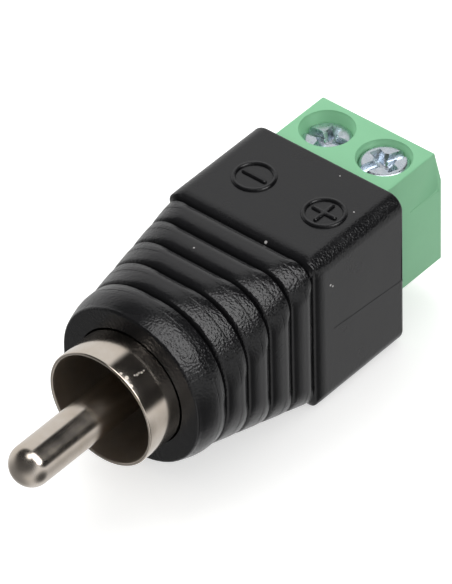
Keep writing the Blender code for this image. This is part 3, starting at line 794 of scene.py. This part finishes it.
def makePolyamide():
    # Polyamide 66, moulded in a matt tool: pastel green, soft sheen, faint flow clouds. The grit is drawn
    # coarser than the tool's, to show.
    material, tree, shader, coords = newMaterial("mouldedPolyamide")
    clouds = addNode(tree, "ShaderNodeTexNoise", {"Scale": perSize(terminal["clouds"]), "Detail": 3.0},
                     {"Vector": coords})
    grit = addNode(tree, "ShaderNodeTexNoise", {"Scale": perSize(terminal["grit"]), "Detail": 2.0},
                   {"Vector": coords})
    shade = addNode(tree, "ShaderNodeMix", {6: colour(terminal["dark"]), 7: colour(terminal["light"])},
                    {0: clouds.outputs["Fac"]}, data_type="RGBA")
    gloss = addNode(tree, "ShaderNodeMapRange",
                    {"From Min": 0.3, "From Max": 0.7, "To Min": terminal["glossy"],
                     "To Max": terminal["dull"]}, {"Value": grit.outputs["Fac"]})
    bump = addNode(tree, "ShaderNodeBump", {"Strength": 0.3, "Distance": terminal["relief"] * mm},
                   {"Height": grit.outputs["Fac"]})
    feedShader(tree, shader, {"Base Color": shade.outputs[2], "Roughness": gloss.outputs[0],
                              "Normal": bump.outputs["Normal"]})
    return material


def makePlating(name):
    # A plated metal, such as zinc on cold-headed steel: bright, with small dents and the crystalline
    # flecks of the coat
    light, dark, roughness = plating[name]
    material, tree, shader, coords = newMaterial(name, {"Metallic": 1.0})
    flecks = addNode(tree, "ShaderNodeTexVoronoi", {"Scale": perSize(plating["flecks"])}, {"Vector": coords})
    dents = addNode(tree, "ShaderNodeTexNoise",
                    {"Scale": perSize(plating["dents"]), "Detail": 4.0, "Roughness": 0.65},
                    {"Vector": coords})
    shade = addNode(tree, "ShaderNodeMix", {6: colour(light), 7: colour(dark)},
                    {0: dents.outputs["Fac"]}, data_type="RGBA")
    gloss = addNode(tree, "ShaderNodeMapRange", {"To Min": roughness * 0.7, "To Max": roughness * 1.6},
                    {"Value": flecks.outputs["Distance"]})
    bump = addNode(tree, "ShaderNodeBump", {"Strength": 0.5, "Distance": plating["relief"] * mm},
                   {"Height": dents.outputs["Fac"]})
    feedShader(tree, shader, {"Base Color": shade.outputs[2], "Roughness": gloss.outputs[0],
                              "Normal": bump.outputs["Normal"]})
    return material


def makeHousing():
    half = (housingHigh.x - housingLow.x) / mm / 2
    outline = [(terminalFront, terminalBottom), (wireFace, terminalBottom),
               (wireFace, terminalTop - terminal["slopeHeight"]),
               (wireFace - terminal["slopeDepth"], terminalTop), (terminalFront, terminalTop)]
    piece = addPiece("terminalHousing", skinRows("terminalHousing", [
        [place(x, along, up) for along, up in outline] for x in (-half, half)]))
    piece.data.materials.append(polyamide)
    bevel = piece.modifiers.new("edges", "BEVEL")
    bevel.width = terminal["edge"] * mm
    bevel.segments = 3
    bevel.limit_method = "ANGLE"
    bevel.angle_limit = math.radians(15)
    settle(piece)
    combine(piece, fineRidges(terminal["ridges"]), "UNION")
    rooms = []
    shelf = terminalTop - terminal["wellDepth"]
    rim = terminalTop - terminal["wellRimDepth"]
    edge = terminal["wellEdge"]
    chamberTop = shelf - terminal["shelf"]
    inChamber = chamberTop - 0.5  # the screw's hole runs on into the chamber
    hole = screw["radius"] + 2 * seatGap
    well = [(0, terminalTop + past), (terminal["wellRimRadius"] + edge, terminalTop + past),
            (terminal["wellRimRadius"] + edge, terminalTop), (terminal["wellRimRadius"], terminalTop - edge),
            (terminal["wellRimRadius"], rim), (terminal["wellRadius"], rim - edge / 2),
            (terminal["wellRadius"], shelf), (hole, shelf), (hole, inChamber), (0, inChamber)]
    for pole, x in poles.items():
        # A well with its screw hole, the chamber of the wire cage, the wire entry and the bar's slot
        rooms.append(lathe("room_well_" + pole, well, (x, screwAlong, 0), upright=True))
        cageLow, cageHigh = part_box("wire_cage_" + pole)
        spare = Vector((seatGap * mm,) * 3)
        chamberHigh = cageHigh + spare
        chamberHigh.z = place(0, 0, chamberTop).z
        rooms.append(boxMesh("room_cage_" + pole, cageLow - spare, chamberHigh))
        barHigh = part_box("contact_bar_" + pole)[1]
        entryMiddle = (upOf(cageLow.z) + upOf(barHigh.z)) / 2 + terminal["entryLift"]
        rows = []
        for along, flare in ((wireFace + past, terminal["entryFlare"]), (wireFace, terminal["entryFlare"]),
                             (wireFace - terminal["entryFlareDepth"], 0), (screwAlong, 0)):
            wide = terminal["entryWidth"] / 2 + flare
            high = terminal["entryHeight"] / 2 + flare
            rows.append([place(x + u * wide, along, entryMiddle + v * high)
                         for u, v in ((-1, -1), (1, -1), (1, 1), (-1, 1))])
        rooms.append(skinRows("room_entry_" + pole, rows))
        rooms.append(swollenCopy("contact_bar_" + pole, terminal["barRoom"]))
    combine(piece, rooms, sharpAngle=25)
    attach(piece, "plug")
    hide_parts("terminal_housing")


def threadTree():
    # Cuts a thread into the marked points: a wave that climbs one pitch for each turn
    tree = newNodeTree("screwThread", [
        ("Centre", "NodeSocketVector"), ("Pitch", "NodeSocketFloat"), ("Depth", "NodeSocketFloat"),
        ("Material", "NodeSocketMaterial")])
    given = addNode(tree, "NodeGroupInput").outputs
    position = addNode(tree, "GeometryNodeInputPosition")
    local = addNode(tree, "ShaderNodeVectorMath", links={0: position.outputs[0], 1: given["Centre"]},
                    operation="SUBTRACT")
    parts = addNode(tree, "ShaderNodeSeparateXYZ", links={0: local.outputs[0]})
    threaded = addNode(tree, "GeometryNodeInputNamedAttribute", {"Name": "threaded"}, data_type="FLOAT")
    known = {"Threaded": threaded.outputs[0],
             **{socket.name: socket for sockets in (parts.outputs, given) for socket in sockets}}
    # The wave reaches a half, so twice it is the full depth
    addMaths(tree, known, (
        ("Angle", "ARCTAN2", "Y", "X"),
        ("Turns", "DIVIDE", "Angle", 2 * math.pi),
        ("Pitches", "DIVIDE", "Z", "Pitch"),
        ("Phase", "SUBTRACT", "Pitches", "Turns"),
        ("Wave", "PINGPONG", "Phase", 0.5),
        ("Cut", "MULTIPLY", "Wave", "Depth"),
        ("Amount", "MULTIPLY", "Cut", "Threaded"),
        ("Inward", "MULTIPLY", "Amount", -2.0)))
    flat = addNode(tree, "ShaderNodeVectorMath", {1: (1, 1, 0)}, {0: local.outputs[0]},
                   operation="MULTIPLY")
    outward = addNode(tree, "ShaderNodeVectorMath", links={0: flat.outputs[0]}, operation="NORMALIZE")
    move = addNode(tree, "ShaderNodeVectorMath", links={0: outward.outputs[0], "Scale": known["Inward"]},
                   operation="SCALE")
    cutShape = addNode(tree, "GeometryNodeSetPosition", links={"Geometry": given["Geometry"],
                                                               "Offset": move.outputs[0]})
    endNodeTree(tree, cutShape.outputs[0], given["Material"])
    return tree


def recessCut(name, top, turn, halfLength, halfWidth, depth, draft):
    # One arm of the driver's recess, cut across the head and narrower at its foot
    across = Matrix.Rotation(math.radians(turn), 3, "Z")
    rows = []
    for height, spare in ((-depth, draft), (0, 0), (past, 0)):
        rows.append([top + across @ Vector((u * (halfLength - spare), v * (halfWidth - spare), height)) * mm
                     for u, v in ((1, 1), (-1, 1), (-1, -1), (1, -1))])
    return skinRows(name, rows)


def makeScrew(pole, tree):
    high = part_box("clamp_screw_" + pole)[1]
    top = screw["headHeight"]
    foot = (poles[pole], screwAlong, upOf(high.z) - top)
    centre = place(*foot)
    edge = screw["headEdge"]
    under = screw["underEdge"]
    shank = screw["radius"] - screw["play"]
    outline = [(0, top)] + arcPoints(screw["headRadius"] - edge, top - edge, edge, 90, turn=-90)
    outline += [(screw["headRadius"], under), (screw["headRadius"] - under, 0), (shank, 0)]
    for step in range(1, screw["threadRows"]):
        outline.append((shank, -screw["length"] * step / screw["threadRows"]))
    outline += [(screw["radius"] - screw["tipEdge"], -screw["length"]), (0, -screw["length"])]
    mesh = lathe("clampScrew_" + pole, outline, foot, sides=64, upright=True)
    # The thread fades in below the head and out at the tip
    start = screw["threadStart"]
    threaded = mesh.attributes.new("threaded", "FLOAT", "POINT")
    for vertex in mesh.vertices:
        depth = (centre.z - vertex.co.z) / mm
        fadeIn = min(1, max(0, (depth - start) / start))
        fadeOut = min(1, max(0, (screw["length"] - depth) / screw["threadEnd"]))
        threaded.data[vertex.index].value = fadeIn * fadeOut
    piece = addPiece("clampScrew_" + pole, mesh)
    runNodes(piece, tree, {"Centre": tuple(centre), "Pitch": screw["threadPitch"] * mm,
                           "Depth": screw["threadDepth"] * mm, "Material": zincPlate})
    turn = screw["turns"][pole]
    crown = Vector((centre.x, centre.y, high.z))
    cuts = [recessCut("slot_" + pole, crown, turn, screw["slotReach"], screw["slotWidth"] / 2,
                      screw["slotDepth"], screw["slotDraft"])]
    cuts += [recessCut("arm_" + pole + side, crown, turn + angle, screw["crossReach"],
                       screw["crossWidth"] / 2, screw["crossDepth"], screw["crossDraft"])
             for side, angle in (("_along", 0), ("_across", 90))]
    pitFloor = top - screw["crossDepth"]
    pit = [(0, top + past), (screw["pitRadius"], top + past), (screw["pitRadius"], top),
           (screw["pitRadius"] * screw["pitFoot"], pitFloor), (0, pitFloor - screw["pitPoint"])]
    cuts.append(lathe("pit_" + pole, pit, foot, sides=24, upright=True))
    combine(piece, cuts)
    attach(piece, "screw_" + pole)
    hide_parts("clamp_screw_" + pole)


# Building

pvc = makePvc()
nickelPlate = makeNickel("nickelPlate", barrel)
satinNickel = makeNickel("satinNickelPlate", pin)
polyamide = makePolyamide()
filledNylon = makeInsulatorPlastic()
zincPlate = makePlating("zincPlate")
cagePlate = makePlating("nickelPlatedSteel")
tinPlate = makePlating("tinPlate")
tinnedWire = makePlating("tinnedCopper")
print("materials ready")

makeGrip()
print("grip ready")

makeBarrel()
makePin()
makeInsulator()
print("plug end ready")

makeHousing()
threads = threadTree()
for pole in poles:
    makeScrew(pole, threads)
print("terminal ready")

# The pieces inside keep their solids and get finished metals
innerPieces = {
    "wire_cage_minus": cagePlate, "wire_cage_plus": cagePlate, "contact_bar_minus": tinPlate,
    "contact_bar_plus": tinPlate, "ground_lead": tinnedWire, "signal_lead": tinnedWire,
}
for node, material in innerPieces.items():
    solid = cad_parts[node]
    solid.data.materials.clear()
    solid.data.materials.append(material)
print("inner pieces ready")


# Studio

studio = {
    "floorColour": "#e9e9e7", "floorSize": 400, "floorDrop": 0.02, "floorGlow": 0.56, "ambient": 0.58,
    "around": 0.84,
    # What shines back from each side: its direction, half width and soft edge in degrees, and its level
    "zones": [
        {"towards": (0.5, 0.57, -0.65), "half": 28, "soft": 14, "level": 0.7},
        {"towards": (-0.5, -0.57, -0.65), "half": 35, "soft": 15, "level": 0.27},
        {"towards": (-0.1, -0.75, 0.6), "half": 58, "soft": 20, "level": 0.08},
        {"towards": (-0.45, -0.3, 0.84), "half": 37, "soft": 7, "level": 0.04},
        {"towards": (0.8, -0.05, -0.6), "half": 22, "soft": 20, "level": 0.1},
        {"towards": (0.533, 0.56, 0.636), "half": 44, "soft": 5, "level": 0.02},
        {"towards": (0.02, -0.2, 0.98), "half": 13, "soft": 5, "level": 2.6},
        {"towards": (0.22, 0.1, 0.97), "half": 13, "soft": 3, "level": 3.6},
        {"towards": (0.5, 0.1, 0.86), "half": 15, "soft": 3, "level": 4.3},
        {"towards": (0.76, 0.12, 0.64), "half": 15, "soft": 3, "level": 4.3},
    ],
}
lamps = {
    "overhead": {"from": (-60, 40, 140), "size": 120, "power": 0.12},
    "side": {"from": (150, 40, 60), "size": 80, "power": 0.03},
}
view = {"azimuth": 41.036, "elevation": 40.6615, "roll": -1.5159, "target": (9.4577, -8.6314, 20.9045),
        "distance": 439.517, "lens": 412.404, "sensor": 36}


def makeWorld():
    # Even light on everything, and panels all round that only polished and glossy faces show
    world = bpy.data.worlds.new("studio")
    scene.world = world
    world.use_nodes = True
    tree = world.node_tree
    tree.nodes.clear()
    direction = addNode(tree, "ShaderNodeTexCoord").outputs["Generated"]
    level = None
    for zone in studio["zones"]:
        way = Vector(zone["towards"]).normalized()
        dot = addNode(tree, "ShaderNodeVectorMath", {1: way}, {0: direction}, operation="DOT_PRODUCT")
        mask = addNode(tree, "ShaderNodeMapRange",
                       {"From Min": math.cos(math.radians(zone["half"] + zone["soft"])),
                        "From Max": math.cos(math.radians(max(zone["half"] - zone["soft"], 0)))},
                       {"Value": dot.outputs["Value"]}, interpolation_type="SMOOTHSTEP")
        mix = addNode(tree, "ShaderNodeMix", {2: studio["around"], 3: zone["level"]}, {0: mask.outputs[0]})
        if level is not None:
            tree.links.new(level, mix.inputs[2])
        level = mix.outputs[0]
    panels = addNode(tree, "ShaderNodeBackground", {"Color": (1, 1, 1, 1)}, {"Strength": level})
    even = addNode(tree, "ShaderNodeBackground", {"Color": (1, 1, 1, 1), "Strength": studio["ambient"]})
    plain = addNode(tree, "ShaderNodeBackground", {"Color": (1, 1, 1, 1), "Strength": 1.0})
    ray = addNode(tree, "ShaderNodeLightPath")
    lit = addNode(tree, "ShaderNodeMixShader", links={0: ray.outputs["Is Glossy Ray"], 1: even.outputs[0],
                                                     2: panels.outputs[0]})
    mix = addNode(tree, "ShaderNodeMixShader", links={0: ray.outputs["Is Camera Ray"], 1: lit.outputs[0],
                                                     2: plain.outputs[0]})
    addNode(tree, "ShaderNodeOutputWorld", links={"Surface": mix.outputs[0]})


def makeFloor():
    # Painted board: a pale matt floor that fades into the background and keeps the shadow
    bm = bmesh.new()
    bmesh.ops.create_grid(bm, x_segments=1, y_segments=1, size=studio["floorSize"] * mm / 2)
    floor = addPiece("floor", meshFrom("floor", bm))
    floor.data.transform(Matrix.Translation((0, 0, -studio["floorDrop"] * mm)))
    material, tree, shader = newMaterial("paintedBoard", {
        "Base Color": colour(studio["floorColour"]), "Roughness": 0.9, "Specular IOR Level": 0.1})[:3]
    glow = addNode(tree, "ShaderNodeEmission", {"Color": (1, 1, 1, 1), "Strength": studio["floorGlow"]})
    clear = addNode(tree, "ShaderNodeBsdfTransparent")
    ray = addNode(tree, "ShaderNodeLightPath")
    shown = addNode(tree, "ShaderNodeMixShader", links={0: ray.outputs["Is Camera Ray"], 2: glow.outputs[0]})
    both = addNode(tree, "ShaderNodeAddShader", links={0: shader.outputs[0], 1: shown.outputs[0]})
    gloss = addNode(tree, "ShaderNodeMixShader", links={0: ray.outputs["Is Glossy Ray"], 1: both.outputs[0],
                                                       2: clear.outputs[0]})
    tree.links.new(gloss.outputs[0], tree.nodes["Material Output"].inputs["Surface"])
    floor.data.materials.append(material)


def makeLamps():
    target = (cadBox[0] + cadBox[1]) / 2
    for name, lamp in lamps.items():
        light = bpy.data.lights.new(name, "AREA")
        light.shape = "SQUARE"
        light.size = lamp["size"] * mm
        light.energy = lamp["power"]
        holder = bpy.data.objects.new(name, light)
        spot = Vector(lamp["from"]) * mm
        holder.location = spot
        holder.rotation_euler = (target - spot).to_track_quat("-Z", "Y").to_euler()
        holder.visible_glossy = False
        scene.collection.objects.link(holder)


def makeCamera():
    azimuth, elevation, roll = (math.radians(view[key]) for key in ("azimuth", "elevation", "roll"))
    back = Vector((math.sin(azimuth) * math.cos(elevation), -math.cos(azimuth) * math.cos(elevation),
                   math.sin(elevation)))
    right = Vector((math.cos(azimuth), math.sin(azimuth), 0))
    up = back.cross(right)
    turnedRight = right * math.cos(roll) + up * math.sin(roll)
    turnedUp = up * math.cos(roll) - right * math.sin(roll)
    lens = bpy.data.cameras.new("view")
    lens.sensor_fit = "VERTICAL"
    lens.sensor_height = view["sensor"]
    lens.lens = view["lens"]
    lens.clip_start = 10 * mm
    camera = bpy.data.objects.new("view", lens)
    matrix = Matrix((turnedRight, turnedUp, back)).transposed().to_4x4()
    matrix.translation = (Vector(view["target"]) + back * view["distance"]) * mm
    camera.matrix_world = matrix
    scene.collection.objects.link(camera)
    scene.camera = camera


makeWorld()
makeFloor()
makeLamps()
makeCamera()
scene.view_settings.view_transform = "Standard"
print("studio ready")
